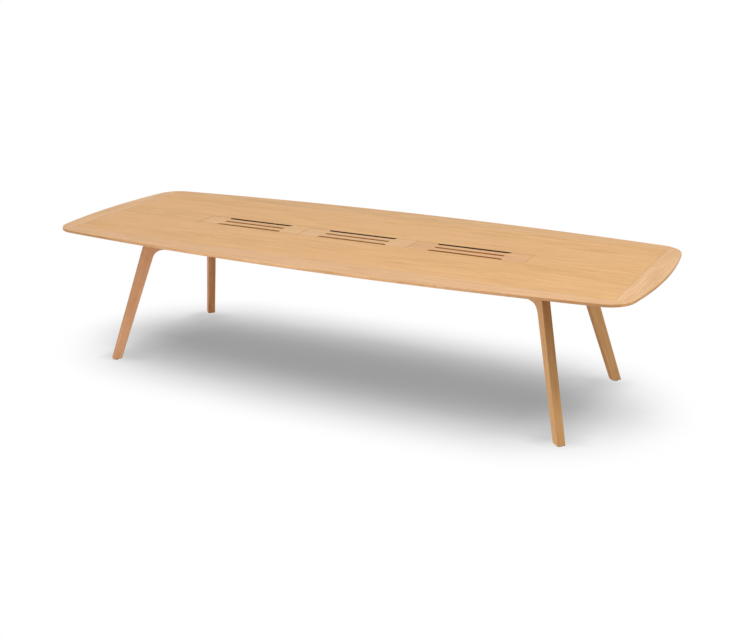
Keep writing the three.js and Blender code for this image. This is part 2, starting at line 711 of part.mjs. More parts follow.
// One corner group for each leg: its X axis points outwards along the leg's plane.
const knee = kneeSolid();
for (const [side, ySign] of [['near', -1], ['far', 1]]) {
  for (const [end, xSign] of [['left', -1], ['right', 1]]) {
    const hand = xSign * ySign;
    const corner = new THREE.Group();
    corner.position.set(xSign * FOOT_X, ySign * FOOT_Y, 0);
    corner.rotation.z = ySign * (xSign > 0 ? LEG_TURN : Math.PI - LEG_TURN);
    const place = `${side}_${end}`;
    corner.add(piece(`leg_${place}`, kneeLeg(knee), 'leg'));
    corner.add(piece(`arm_${place}`, kneeArm(knee, hand), 'leg'));
    corner.add(piece(`knee_tenon_${place}`, kneeTenon(0), 'joinery'));
    corner.add(piece(`saddle_${place}`, saddle(hand), 'steel'));
    corner.add(piece(`saddle_bolt_outer_${place}`, saddleBolt(0), 'zinc'));
    corner.add(piece(`saddle_bolt_inner_${place}`, saddleBolt(1), 'zinc'));
    corner.add(piece(`cleat_${place}`, cleat(hand), 'zinc'));
    corner.add(piece(`glide_${place}`, glide(), 'glide'));
    table.add(corner);
  }
}

export default table;
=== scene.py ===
# %% [markdown]
# # A long oak conference table
# The table has a boat-shaped oak top, three lift-out cable lids in a long opening, and four splayed oak
# legs that turn in under the top at a rounded knee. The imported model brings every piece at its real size
# and place, so this lesson only adds finer edges, joints, screws and finishes.

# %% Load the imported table
import math

import bmesh
import bpy
from mathutils import Matrix, Vector


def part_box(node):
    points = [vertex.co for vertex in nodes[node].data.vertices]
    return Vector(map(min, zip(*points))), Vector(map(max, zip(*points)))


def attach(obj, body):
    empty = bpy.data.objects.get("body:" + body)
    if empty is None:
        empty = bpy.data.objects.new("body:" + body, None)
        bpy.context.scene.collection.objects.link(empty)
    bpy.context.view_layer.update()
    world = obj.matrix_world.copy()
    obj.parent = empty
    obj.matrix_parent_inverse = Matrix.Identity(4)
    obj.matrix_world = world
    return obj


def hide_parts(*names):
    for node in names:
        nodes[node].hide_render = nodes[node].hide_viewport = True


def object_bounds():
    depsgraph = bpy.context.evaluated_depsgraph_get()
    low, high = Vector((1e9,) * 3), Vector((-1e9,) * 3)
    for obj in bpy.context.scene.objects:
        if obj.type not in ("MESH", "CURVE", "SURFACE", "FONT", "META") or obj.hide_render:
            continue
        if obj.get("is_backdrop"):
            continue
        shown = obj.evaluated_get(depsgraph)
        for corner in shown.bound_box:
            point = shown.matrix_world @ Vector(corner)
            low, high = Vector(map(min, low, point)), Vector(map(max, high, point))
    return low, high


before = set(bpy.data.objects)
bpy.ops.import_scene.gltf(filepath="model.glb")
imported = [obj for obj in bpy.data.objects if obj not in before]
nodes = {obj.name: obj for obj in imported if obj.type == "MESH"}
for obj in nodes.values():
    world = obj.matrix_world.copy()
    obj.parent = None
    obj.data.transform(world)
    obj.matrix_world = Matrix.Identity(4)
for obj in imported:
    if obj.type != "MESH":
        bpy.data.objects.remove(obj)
cad_low, cad_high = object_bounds()
print("pieces in the packed model:", len(nodes))
print("packed size in metres:", [round(v, 4) for v in cad_high - cad_low])

# %% [markdown]
# ## Writing node trees as expressions
# A finish is easier to read as arithmetic than as a list of links. A wire stands for one output socket,
# and adding or multiplying wires adds Math nodes. A recipe makes every other kind of node with one
# method, and serves shader trees and Geometry Nodes trees alike.

# %% A wire and a recipe
class Wire:
    """One output socket, with arithmetic that adds Math nodes to its tree."""

    def __init__(self, recipe, socket):
        self.recipe = recipe
        self.socket = socket

    def math(self, operation, *others):
        sockets = dict(enumerate((self, *others)))
        return self.recipe.node("ShaderNodeMath", {"operation": operation}, sockets)

    def __add__(self, other):
        return self.math("ADD", other)

    def __mul__(self, other):
        return self.math("MULTIPLY", other)

    def __sub__(self, other):
        return self.math("SUBTRACT", other)

    def __rsub__(self, other):
        return self.recipe.node("ShaderNodeMath", {"operation": "SUBTRACT"}, {0: other, 1: self})

    def __truediv__(self, other):
        return self.math("DIVIDE", other)

    __radd__ = __add__
    __rmul__ = __mul__


class Recipe:
    """Adds nodes to one tree, settings first and sockets after."""

    def __init__(self, tree):
        self.tree = tree

    def node(self, kind, settings=None, sockets=None, out=0):
        made = self.tree.nodes.new(kind)
        for key, value in (settings or {}).items():
            setattr(made, key, value)
        for key, value in (sockets or {}).items():
            self.feed(made.inputs[key], value)
        return Wire(self, made.outputs[out]) if made.outputs else made

    def join(self, x, y, z):
        return self.node("ShaderNodeCombineXYZ", sockets={0: x, 1: y, 2: z})

    def feed(self, socket, value):
        if isinstance(value, list):
            for wire in value:
                self.feed(socket, wire)
        elif isinstance(value, Wire):
            self.tree.links.new(value.socket, socket)
        else:
            socket.default_value = value


print("node recipes ready")

# %% [markdown]
# ## The oak
# Oak shows four things: broad ribbons of colour along the board, the lines of each year's growth, short
# dark pores in the spring wood, and a satin lacquer over all of it. An image would repeat on every board.
# Here each piece carries its own grain directions in an attribute, along, across and through the board
# in metres, and one recipe reads it.

# %% Helpers for finishes
def rgb(red, green, blue):
    """A colour as seen on screen, 0 to 255, turned into the linear values a shader takes."""
    def linear(value):
        share = value / 255
        return share / 12.92 if share <= 0.04045 else ((share + 0.055) / 1.055) ** 2.4
    return (linear(red), linear(green), linear(blue), 1.0)


class Finish(Recipe):
    """A material, with a method for each kind of node that a finish needs."""

    def __init__(self, name):
        self.material = bpy.data.materials.new(name)
        self.material.use_nodes = True
        super().__init__(self.material.node_tree)
        self.tree.nodes.clear()

    def split(self, vector):
        parts = self.node("ShaderNodeSeparateXYZ", sockets={0: vector}).socket.node.outputs
        return [Wire(self, socket) for socket in parts]

    def noise(self, place, scale, detail, roughness=0.5):
        sockets = {"Vector": place, "Scale": scale, "Detail": detail, "Roughness": roughness}
        return self.node("ShaderNodeTexNoise", {"noise_dimensions": "3D"}, sockets)

    def step(self, value, low, high):
        """0 below low, 1 above high and a smooth rise between them."""
        settings = {"interpolation_type": "SMOOTHSTEP"}
        sockets = {"Value": value, "From Min": low, "From Max": high}
        return self.node("ShaderNodeMapRange", settings, sockets)

    def mix(self, share, first, second, blend="MIX"):
        settings = {"data_type": "RGBA", "blend_type": blend}
        return self.node("ShaderNodeMix", settings, {0: share, 6: first, 7: second}, out=2)

    def bump(self, height, distance, strength):
        sockets = {"Height": height, "Distance": distance, "Strength": strength}
        return self.node("ShaderNodeBump", sockets=sockets)

    def surface(self, **sockets):
        named = {key.replace("_", " "): value for key, value in sockets.items()}
        shader = self.node("ShaderNodeBsdfPrincipled", sockets=named)
        self.node("ShaderNodeOutputMaterial", sockets={"Surface": shader})
        return self.material


print("white on screen is", rgb(255, 255, 255)[:3])

# %% The oak recipe
# Marks per metre along and across the board, and the detail of the noise
RIBBON, LINES, FIBRE = (4.5, 60, 3), (4, 190, 2), (14, 800, 1)
TINT, BEND, DASH = (0.6, 5, 1), (0.9, 3.5, 2), (40, 1500, 0)
RING_WIDTH, RING_BEND = 0.0042, 0.03
SPRING_ENDS = 0.4
DASH_FROM, DASH_TO = 0.6, 0.74
SUMMER_PORES = 0.25
MID_TONE = 0.55
RIBBON_SHARE, LINE_SHARE, FIBRE_SHARE, SPRING_SHARE = 1.1, 0.9, 0.4, 0.12
BLUSH_FROM, BLUSH_TO, BLUSH_SHARE = 0.3, 0.75, 0.5
PORE_COLOUR, PORE_SHARE = rgb(150, 104, 66), 0.5
POST_SPACING = 2.0
# Distances along a leg over which the painted shade on its narrow faces turns from the foot's shade to the
# deeper shade under the top's overhang
OVERHANG_SHADE_FROM, OVERHANG_SHADE_TO = 0.06, 0.32
NARROW_ENDS, BROAD_STARTS = 0.0014, 0.0002
RIM_STARTS = 0.2
FADE_START, FADE_END = 0.014, 0.024
TURN_START, TURN_END = 0.5, 1.4
GLUE_LINE = 0.0012
GLUE_TONE = (0.5, 0.45, 0.4, 1.0)


def oak(name, pale, deep, blush, heart=None, post=None, rim=None, glued=None):
    """Lacquered oak. heart is where the pith lies: across, below and its slope along. post is half the
    thickness of a post and the painted shade on its narrow faces, at its foot and higher up, where the
    top's overhang shades it. rim is for a board that lies flush with the top: the painted shade on its
    upright edges, the shade near its ends, where the edge turns from the light and partly cuts across the
    fibres, and the depth at which that shade is full. glued is how far across the board's glued edge
    lies, which shows as a fine dark line."""
    wood = Finish(name)
    grain = wood.node("ShaderNodeAttribute", {"attribute_name": "grain"}, out="Vector")
    along, across, through = wood.split(grain)

    def streaks(along_scale, across_scale, detail):
        place = wood.join(along * along_scale, across * across_scale, through * across_scale)
        return wood.noise(place, scale=1.0, detail=detail, roughness=0.55)

    ribbon = streaks(*RIBBON)
    lines = streaks(*LINES)
    fibre = streaks(*FIBRE)
    tint = streaks(*TINT)
    rings = across + (streaks(*BEND) - 0.5) * RING_BEND
    if heart:
        aside, below, slope = heart
        rise = along * slope + below
        rings = rings - aside
        rings = (rings * rings + rise * rise).math("SQRT")
    year = (rings / RING_WIDTH).math("FRACT")
    spring = 1 - wood.step(year, 0.0, SPRING_ENDS)
    dash = wood.step(streaks(*DASH), DASH_FROM, DASH_TO)
    pores = dash * (spring * (1 - SUMMER_PORES) + SUMMER_PORES)

    tone = MID_TONE + (ribbon - 0.5) * RIBBON_SHARE + (lines - 0.5) * LINE_SHARE
    tone = tone + (fibre - 0.5) * FIBRE_SHARE - spring * SPRING_SHARE
    colour = wood.mix(wood.step(tone, 0.0, 1.0), deep, pale)
    colour = wood.mix(wood.step(tint, BLUSH_FROM, BLUSH_TO) * BLUSH_SHARE, colour, blush)
    colour = wood.mix(pores * PORE_SHARE, colour, PORE_COLOUR)
    # Painted shade on the narrow faces, deeper higher up on a leg that the top's overhang shades
    if post:
        half, foot_shade, upper_shade = post
        broad = wood.step(through.math("ABSOLUTE"), half - NARROW_ENDS, half - BROAD_STARTS)
        raised = wood.step(along.math("FLOORED_MODULO", POST_SPACING), OVERHANG_SHADE_FROM, OVERHANG_SHADE_TO)
        narrow = wood.mix(raised, foot_shade, upper_shade)
        colour = wood.mix(1 - broad, colour, narrow, "MULTIPLY")
    # Painted shade on upright edges just below the top face, with its own tone towards the board's ends
    if rim:
        side_shade, end_grain_and_shade, depth = rim
        drop = cad_high.z - through
        upright = wood.step(drop, depth * RIM_STARTS, depth) - wood.step(drop, FADE_START, FADE_END)
        turned = wood.step(along.math("ABSOLUTE"), TURN_START, TURN_END)
        colour = wood.mix(upright, colour, wood.mix(turned, side_shade, end_grain_and_shade), "MULTIPLY")
    if glued:
        colour = wood.mix(wood.step(across, glued + GLUE_LINE, glued), colour, GLUE_TONE, "MULTIPLY")
    relief = fibre * 0.3 - spring * 0.25 - pores
    return wood.surface(
        Base_Color=colour,
        Roughness=0.5 + (lines - 0.5) * 0.12 + pores * 0.2,
        Specular_IOR_Level=0.12,
        Normal=wood.bump(relief, distance=0.0002, strength=0.3),
    )


print("growth rings in millimetres:", RING_WIDTH * 1000)

# %% Oak for the top
FIELD_HALF_X, FIELD_HALF_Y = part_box("top_field")[1].xy
# Painted shade on upright edges of the top's boards: tone on the edges, tone near the ends, depth where it
# is full. Near the side borders' ends the edge turns from the light and partly cuts across the fibres. On
# the field the cut veneer edge at the opening is partly darker in itself and partly painted shade.
SIDE_EDGE_SHADE_AND_END_GRAIN = ((0.87, 0.83, 0.8, 1.0), (0.66, 0.58, 0.5, 1.0), 0.002)
END_EDGE_SHADE = ((0.88, 0.78, 0.63, 1.0), (0.88, 0.78, 0.63, 1.0), 0.002)
FIELD_CUT_EDGE_AND_SHADE = ((0.3, 0.21, 0.14, 1.0), (0.3, 0.21, 0.14, 1.0), 0.0005)
oak_field = oak("veneered_oak", rgb(236, 188, 130), rgb(205, 154, 98), rgb(232, 182, 130), rim=FIELD_CUT_EDGE_AND_SHADE)
SIDE_TONES = {
    "near": (rgb(236, 192, 144), rgb(206, 158, 110), rgb(230, 182, 140)),
    "far": (rgb(232, 188, 136), rgb(203, 154, 103), rgb(226, 178, 132)),
}
side_finishes = {}
for name, tones in SIDE_TONES.items():
    side_finishes[name] = oak(name + "_border_oak", *tones, rim=SIDE_EDGE_SHADE_AND_END_GRAIN)
END_HEART = (1.56, 0.012, 0.05)
oak_end = oak("end_border_oak", rgb(237, 194, 147), rgb(210, 164, 116), rgb(232, 186, 142),
              heart=END_HEART, rim=END_EDGE_SHADE, glued=FIELD_HALF_X)
print("oak for field, ends and sides:", sorted(side_finishes))

# %% Oak for the lids and legs
# Painted shade on the walls of the lids' slots, notches and ends
LID_EDGE_SHADE = ((0.72, 0.5, 0.3, 1.0), (0.72, 0.5, 0.3, 1.0), 0.0008)
LID_TONES = {
    "lid_1": (rgb(238, 194, 142), rgb(208, 160, 108), rgb(234, 188, 138)),
    "lid_2": (rgb(236, 192, 144), rgb(206, 158, 110), rgb(232, 186, 140)),
    "lid_3": (rgb(232, 184, 134), rgb(200, 148, 100), rgb(226, 174, 128)),
}
lid_finishes = {name: oak(name + "_oak", *tones, rim=LID_EDGE_SHADE) for name, tones in LID_TONES.items()}
LEG_THICKNESS = 0.0425
LEG_TONES = {
    "near_left": (rgb(222, 171, 129), rgb(190, 137, 98), rgb(217, 163, 125)),
    "near_right": (rgb(231, 186, 133), rgb(198, 147, 99), rgb(223, 173, 125)),
    "far_left": (rgb(242, 187, 142), rgb(203, 144, 103), rgb(235, 172, 131)),
    "far_right": (rgb(222, 177, 123), rgb(191, 143, 92), rgb(215, 167, 114)),
}
# Painted shade on each leg's narrow faces, at the foot and higher up; on the near right leg it deepens
# under the top's overhang
NARROW_FACE_SHADE = {
    "near_left": ((0.9, 0.84, 0.76, 1.0),) * 2,
    "near_right": ((0.76, 0.72, 0.61, 1.0), (0.57, 0.52, 0.43, 1.0)),
    "far_left": ((0.78, 0.71, 0.61, 1.0),) * 2,
    "far_right": ((0.99, 0.85, 0.68, 1.0),) * 2,
}
leg_finishes = {}
for name, tones in LEG_TONES.items():
    post = (LEG_THICKNESS / 2, *NARROW_FACE_SHADE[name])
    leg_finishes[name] = oak(name + "_leg_oak", *tones, post=post)
print("oak for lids and legs:", len(lid_finishes), len(leg_finishes))

# %% [markdown]
# ## Steel, zinc, plastic and joinery wood
# Beams, end ties, tray, lid frame and saddles are powder-coated black: a matt skin with a fine orange-peel
# texture. Bolts, screws and cleats are zinc plated, glides are moulded plastic, and the loose tongues and
# tenons are close-grained wood. None has a long figure, so noise on Object coordinates is enough.

# %% Other finishes
def powder_coat():
    coat = Finish("powder_coated_steel")
    place = coat.node("ShaderNodeTexCoord", out="Object")
    peel = coat.noise(place, scale=900, detail=2)
    cloud = coat.noise(place, scale=14, detail=2)
    colour = coat.mix(cloud, rgb(26, 23, 21), rgb(36, 32, 29))
    return coat.surface(
        Base_Color=colour,
        Roughness=0.6 + (peel - 0.5) * 0.2,
        Specular_IOR_Level=0.15,
        Normal=coat.bump(peel, distance=0.0002, strength=0.4),
    )


def zinc_plate():
    zinc = Finish("zinc_plated_steel")
    place = zinc.node("ShaderNodeTexCoord", out="Object")
    cloud = zinc.noise(place, scale=260, detail=3)
    brushed = zinc.noise(place, scale=2600, detail=1)
    colour = zinc.mix(cloud, rgb(164, 166, 168), rgb(198, 199, 200))
    return zinc.surface(
        Base_Color=colour,
        Metallic=1.0,
        Roughness=0.3 + cloud * 0.15,
        Normal=zinc.bump(brushed, distance=0.00005, strength=0.3),
    )


def moulded_plastic():
    plastic = Finish("moulded_glide")
    place = plastic.node("ShaderNodeTexCoord", out="Object")
    grit = plastic.noise(place, scale=1600, detail=2)
    scuff = plastic.noise(place, scale=120, detail=3)
    colour = plastic.mix(scuff, rgb(52, 50, 48), rgb(70, 67, 64))
    return plastic.surface(
        Base_Color=colour,
        Roughness=0.55 + (scuff - 0.5) * 0.2,
        Normal=plastic.bump(grit, distance=0.0001, strength=0.3),
    )


def close_grained():
    wood = Finish("close_grained_wood")
    x, y, z = wood.split(wood.node("ShaderNodeTexCoord", out="Object"))
    fleck = wood.noise(wood.join(x * 120, y * 120, z * 420), scale=1.0, detail=2)
    cloud = wood.noise(wood.join(x * 9, y * 9, z * 9), scale=1.0, detail=2)
    colour = wood.mix(fleck * 0.6 + cloud * 0.4, rgb(196, 150, 108), rgb(226, 188, 148))
    return wood.surface(
        Base_Color=colour,
        Roughness=0.6 + (fleck - 0.5) * 0.2,
        Normal=wood.bump(fleck, distance=0.0001, strength=0.3),
    )


FINISHES = {
    "black_steel": powder_coat(),
    "zinc_steel": zinc_plate(),
    "glide_plastic": moulded_plastic(),
    "joinery_wood": close_grained(),
}
print("other finishes:", sorted(FINISHES))

# %% [markdown]
# ## Pieces, cuts and grain
# Every wooden piece ends the same way: a closed mesh, cut where a hidden tongue, tenon or bolt passes
# through it, with its grain attribute painted on. A Boolean with a slightly grown copy of the packed
# joinery piece gives the mortise its true place and a real clearance.

# %% Helpers for pieces
def plain_object(name, bm):
    """A new object at the origin from a finished bmesh."""
    bmesh.ops.recalc_face_normals(bm, faces=bm.faces)
    mesh = bpy.data.meshes.new(name)
    bm.to_mesh(mesh)
    bm.free()
    thing = bpy.data.objects.new(name, mesh)
    bpy.context.collection.objects.link(thing)
    return thing


def baked(thing):
    """The object's mesh with its modifiers worked in, and the modifiers removed."""
    graph = bpy.context.evaluated_depsgraph_get()
    mesh = bpy.data.meshes.new_from_object(thing.evaluated_get(graph), depsgraph=graph)
    mesh.name = thing.name
    thing.modifiers.clear()
    thing.data = mesh
    return thing


print("object helpers ready")

# %% Helpers that cut
TOUCH = 1e-6
FLAT_UNDER = math.radians(1)


def grown_copy(node, clearance):
    """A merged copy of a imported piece, every face moved out by the clearance."""
    bm = bmesh.new()
    bm.from_mesh(nodes[node].data)
    bmesh.ops.remove_doubles(bm, verts=bm.verts, dist=TOUCH)
    bmesh.ops.dissolve_limit(bm, angle_limit=FLAT_UNDER, verts=bm.verts, edges=bm.edges)
    bm.normal_update()
    places = {v: v.co + v.normal * clearance * v.calc_shell_factor() for v in bm.verts}
    for vert, place in places.items():
        vert.co = place
    return plain_object("cutter_" + node, bm)


def carve(thing, cutters, clearance):
    """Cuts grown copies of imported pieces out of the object."""
    tools = [grown_copy(node, clearance) for node in cutters]
    for tool in tools:
        cut = thing.modifiers.new("cut", "BOOLEAN")
        cut.object = tool
        cut.operation = "DIFFERENCE"
        cut.solver = "EXACT"
    baked(thing)
    for tool in tools:
        bpy.data.objects.remove(tool)


def keep_inside(bm, point, outward):
    """Saws the solid along a plane, drops what lies outward and closes the cut."""
    everything = bm.verts[:] + bm.edges[:] + bm.faces[:]
    cut = bmesh.ops.bisect_plane(bm, geom=everything, plane_co=point, plane_no=outward, clear_outer=True)
    edges = [part for part in cut["geom_cut"] if isinstance(part, bmesh.types.BMEdge)]
    bmesh.ops.holes_fill(bm, edges=edges)


print("cutting helpers ready")

# %% Helpers that finish a piece
SHARP_OVER = math.radians(40)
SMOOTH_UNDER = math.radians(32)
FLAT_FACE_WEIGHT = 100


def eased(thing, size, steps):
    """Rounds every sharp edge of the object."""
    arris = thing.modifiers.new("arris", "BEVEL")
    arris.width = size
    arris.segments = steps
    arris.limit_method = "ANGLE"
    arris.angle_limit = SHARP_OVER
    baked(thing)


def finish_piece(thing, body, material, replaced, grain=None):
    """Paints the grain of wood, smooths the rounds, hides the packed pieces it replaces and parents the
    piece to its body.
    """
    mesh = thing.data
    if grain:
        painted = mesh.attributes.new("grain", "FLOAT_VECTOR", "POINT")
        values = [value for vert in mesh.vertices for value in grain(vert.co)]
        painted.data.foreach_set("vector", values)
    mesh.materials.clear()
    mesh.materials.append(material)
    mesh.polygons.foreach_set("use_smooth", [True] * len(mesh.polygons))
    mesh.set_sharp_from_angle(angle=SMOOTH_UNDER)
    even = thing.modifiers.new("even_shading", "WEIGHTED_NORMAL")
    even.keep_sharp = True
    even.weight = FLAT_FACE_WEIGHT
    mesh = baked(thing).data
    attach(thing, body)
    if replaced:
        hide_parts(*replaced)
    print(thing.name, "faces:", len(mesh.polygons))


print("finishing helpers ready")

# %% [markdown]
# ## The boat-shaped top
# Both long sides and both ends of the top are shallow arcs, joined by tighter arcs at the corners. On the
# real table the borders are solid oak, shaped on a router: a soft arris on top, an upright edge, and a
# sloped undercut that makes the top look thin. A loft of rings follows that outline, and the borders are
# then sawn out of it along the seams and mitres.

# %% Outline of the top
LENGTH = 2 * cad_high.x
WIDTH = 2 * cad_high.y
TOP = cad_high.z
SIDE_BOW = 0.0945
END_BOW = 0.0695
CORNER_RADIUS = 0.134
ARC_STEPS = 40
CORNER_STEPS = 24


def arc_radius(half_chord, bow):
    return (half_chord ** 2 + bow ** 2) / (2 * bow)


def quarter_outline():
    """Points and outward normals from the middle of the right end to the middle of the far side."""
    side_radius = arc_radius(LENGTH / 2, SIDE_BOW)
    end_radius = arc_radius(WIDTH / 2, END_BOW)
    side = Vector((0, WIDTH / 2 - side_radius))
    end = Vector((LENGTH / 2 - end_radius, 0))
    reach_side = side_radius - CORNER_RADIUS
    reach_end = end_radius - CORNER_RADIUS
    between = end - side
    forward = between.normalized()
    along = (reach_side ** 2 - reach_end ** 2 + between.length_squared) / (2 * between.length)
    aside = math.sqrt(reach_side ** 2 - along ** 2)
    corner = side + forward * along + Vector((forward.y, -forward.x)) * aside
    end_turn = math.atan2(*reversed(corner - end))
    side_turn = math.atan2(*reversed(corner - side))
    arcs = [
        (end, end_radius, 0, end_turn, ARC_STEPS),
        (corner, CORNER_RADIUS, end_turn, side_turn, CORNER_STEPS),
        (side, side_radius, side_turn, math.pi / 2, ARC_STEPS),
    ]
    found = []
    for centre, radius, start, stop, steps in arcs:
        for index in range(steps):
            turn = start + (stop - start) * index / steps
            normal = Vector((math.cos(turn), math.sin(turn)))
            found.append((centre + normal * radius, normal))
    found.append((Vector((0, WIDTH / 2)), Vector((0, 1))))
    return found


def whole_outline():
    """The quarter mirrored into one closed loop."""
    quarter = quarter_outline()
    loop = []
    for sign_x, sign_y, step in ((1, 1, 1), (-1, 1, -1), (-1, -1, 1), (1, -1, -1)):
        flip = lambda v: Vector((v.x * sign_x, v.y * sign_y))
        loop += [(flip(p), flip(n)) for p, n in quarter[::step][:-1]]
    return loop


outline = whole_outline()
print("points round the top:", len(outline))

# %% Edge profile and the whole slab
EDGE_HEIGHT = 0.014
UNDERCUT_RUN = 0.045
ARRIS = 0.0022
LOWER_ROUND = 0.003
PROFILE_STEPS = 6
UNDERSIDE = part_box("top_field")[0].z


def edge_profile():
    """Inset from the outline and height, from the top face round to the underside."""
    steps = [math.pi / 2 * index / PROFILE_STEPS for index in range(PROFILE_STEPS + 1)]
    profile = [(ARRIS * (1 - math.sin(t)), TOP - ARRIS * (1 - math.cos(t))) for t in steps]
    lower = TOP - EDGE_HEIGHT
    slope = math.atan2(lower - UNDERSIDE, UNDERCUT_RUN)
    turn = math.pi / 2 - slope
    tangent = LOWER_ROUND * math.tan(turn / 2)
    for index in range(PROFILE_STEPS + 1):
        t = turn * index / PROFILE_STEPS
        inset = LOWER_ROUND * (1 - math.cos(t))
        profile.append((inset, lower + tangent - LOWER_ROUND * math.sin(t)))
    profile.append((UNDERCUT_RUN, UNDERSIDE))
    return profile


def whole_slab():
    bm = bmesh.new()
    rings = []
    for inset, height in edge_profile():
        rings.append([bm.verts.new((*(p - n * inset), height)) for p, n in outline])
    for upper, lower in zip(rings, rings[1:]):
        for index in range(len(outline)):
            after = (index + 1) % len(outline)
            bm.faces.new((upper[index], lower[index], lower[after], upper[after]))
    bm.faces.new(rings[0])
    bm.faces.new(list(reversed(rings[-1])))
    return bm


slab = whole_slab()
print("slab faces:", len(slab.faces))

# %% [markdown]
# ## Borders
# The side borders run full length and the end borders lie between them, with mitres from the field's
# corners out to the curve. Each border is the slab sawn three times. A hair-fine round along each seam
# shows as the thin shadow line that a glued and sanded joint has.

# %% Saw the borders out
FIT = 0.0003
SEAM_ROUND = 0.0004
END_SEAM_ROUND = 0.0006
SEAM_STEPS = 2
SEAM_X, SEAM_Y = FIELD_HALF_X + FIT, FIELD_HALF_Y + FIT
DIAGONAL = math.sqrt(0.5)


def ease_seams(bm, on_seam, size):
    """Rounds the top edges that lie on a seam."""
    chosen = lambda v: abs(v.co.z - TOP) < TOUCH and on_seam(v.co)
    edges = [e for e in bm.edges if all(chosen(v) for v in e.verts)]
    bmesh.ops.bevel(bm, geom=edges, offset=size, segments=SEAM_STEPS, affect="EDGES", profile=0.5)


def border(name, planes, tongue, material, grain, seam_round):
    """One border: the slab kept inside three planes, each a point and its outward direction."""
    bm = slab.copy()
    for point, outward in planes:
        keep_inside(bm, point, outward)
    on_seam = lambda p: any(abs((p - Vector(q)).dot(Vector(o))) < TOUCH for q, o in planes)
    ease_seams(bm, on_seam, seam_round)
    thing = plain_object("shaped_" + name, bm)
    carve(thing, [tongue], FIT)
    finish_piece(thing, "table", material, [name], grain)


along_table = lambda p: (p.x, p.y, p.z)
for name, sign in (("near", -1), ("far", 1)):
    planes = [((0, sign * SEAM_Y, 0), (0, -sign, 0))]
    for side in (-1, 1):
        corner = (side * FIELD_HALF_X, sign * SEAM_Y, 0)
        planes.append((corner, (side * DIAGONAL, -sign * DIAGONAL, 0)))
    border("top_side_" + name, planes, "tongue_" + name, side_finishes[name], along_table, SEAM_ROUND)

across_table = lambda p: (p.y, abs(p.x), p.z)
for name, sign in (("left", -1), ("right", 1)):
    planes = [((sign * SEAM_X, 0, 0), (-sign, 0, 0))]
    for side in (-1, 1):
        corner = (sign * SEAM_X, side * FIELD_HALF_Y, 0)
        planes.append((corner, (-sign * DIAGONAL, side * DIAGONAL, 0)))
    border("top_end_" + name, planes, "tongue_" + name, oak_end, across_table, END_SEAM_ROUND)
slab.free()

# %% [markdown]
# ## The veneered field
# The field is a flat panel with a long opening for the cable lids. Its size and the size of the opening
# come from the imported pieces. The veneer reaches over the rim of the steel lid frame as a thin lip, so
# that only a hair of shadow is left round the lids, and its edges get the same fine round as the borders.
# The lids lie loose and a little to the near right, so that hair is wider on the left and far sides.

# %% Field panel
LIP = 0.0007
SETBACKS = {"left": 0.0014, "right": 0.0001, "near": 0.0001, "far": 0.0016}
lids_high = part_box("lid_3")[1]
frame_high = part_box("lid_frame")[1]
lid_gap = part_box("lid_2")[0].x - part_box("lid_1")[1].x
FIELD_SHIFT = 3


def lip_edge(side):
    """Distance from the middle of the opening to the lip on one side."""
    reach = lids_high.x if side in ("left", "right") else lids_high.y
    return reach + lid_gap + SETBACKS[side]


def field_panel():
    bm = bmesh.new()
    lip = [lip_edge(side) for side in ("right", "far", "left", "near")]
    opening = (frame_high.x + FIT, frame_high.y + FIT) * 2
    outside = (FIELD_HALF_X, FIELD_HALF_Y) * 2
    steps = [(outside, TOP), (outside, UNDERSIDE), (opening, UNDERSIDE),
             (opening, TOP - LIP), (lip, TOP - LIP), (lip, TOP)]
    loops = []
    for (right, far, left, near), height in steps:
        corners = ((right, far), (-left, far), (-left, -near), (right, -near))
        loops.append([bm.verts.new((*corner, height)) for corner in corners])
    for first, second in zip(loops, loops[1:] + loops[:1]):
        for index in range(4):
            after = (index + 1) % 4
            bm.faces.new((first[index], second[index], second[after], first[after]))
    at_top = [e for e in bm.edges if all(abs(v.co.z - TOP) < TOUCH for v in e.verts)]
    rims = [e for e in at_top if e.calc_face_angle() > SHARP_OVER]
    bmesh.ops.bevel(bm, geom=rims, offset=SEAM_ROUND, segments=SEAM_STEPS, affect="EDGES", profile=0.5)
    thing = plain_object("veneered_top_field", bm)
    carve(thing, ["tongue_near", "tongue_far", "tongue_left", "tongue_right"], FIT)
    grain = lambda p: (p.x, p.y + FIELD_SHIFT, p.z)
    finish_piece(thing, "table", oak_field, ["top_field"], grain)


print("gap between lids in millimetres:", round(lid_gap * 1000, 2))
field_panel()

# %% [markdown]
# ## Cable lids
# Three equal lids lift out of the opening. Each is a plate with a slot along its middle and a finger notch
# in both long edges; all three cuts are slots with round ends, so one rule makes the lid. That is a job
# for Geometry Nodes: the sizes are named inputs, and the same tree serves all three lids. Each lid ends a
# hair short of its packed length, so that the joints between the lids show.

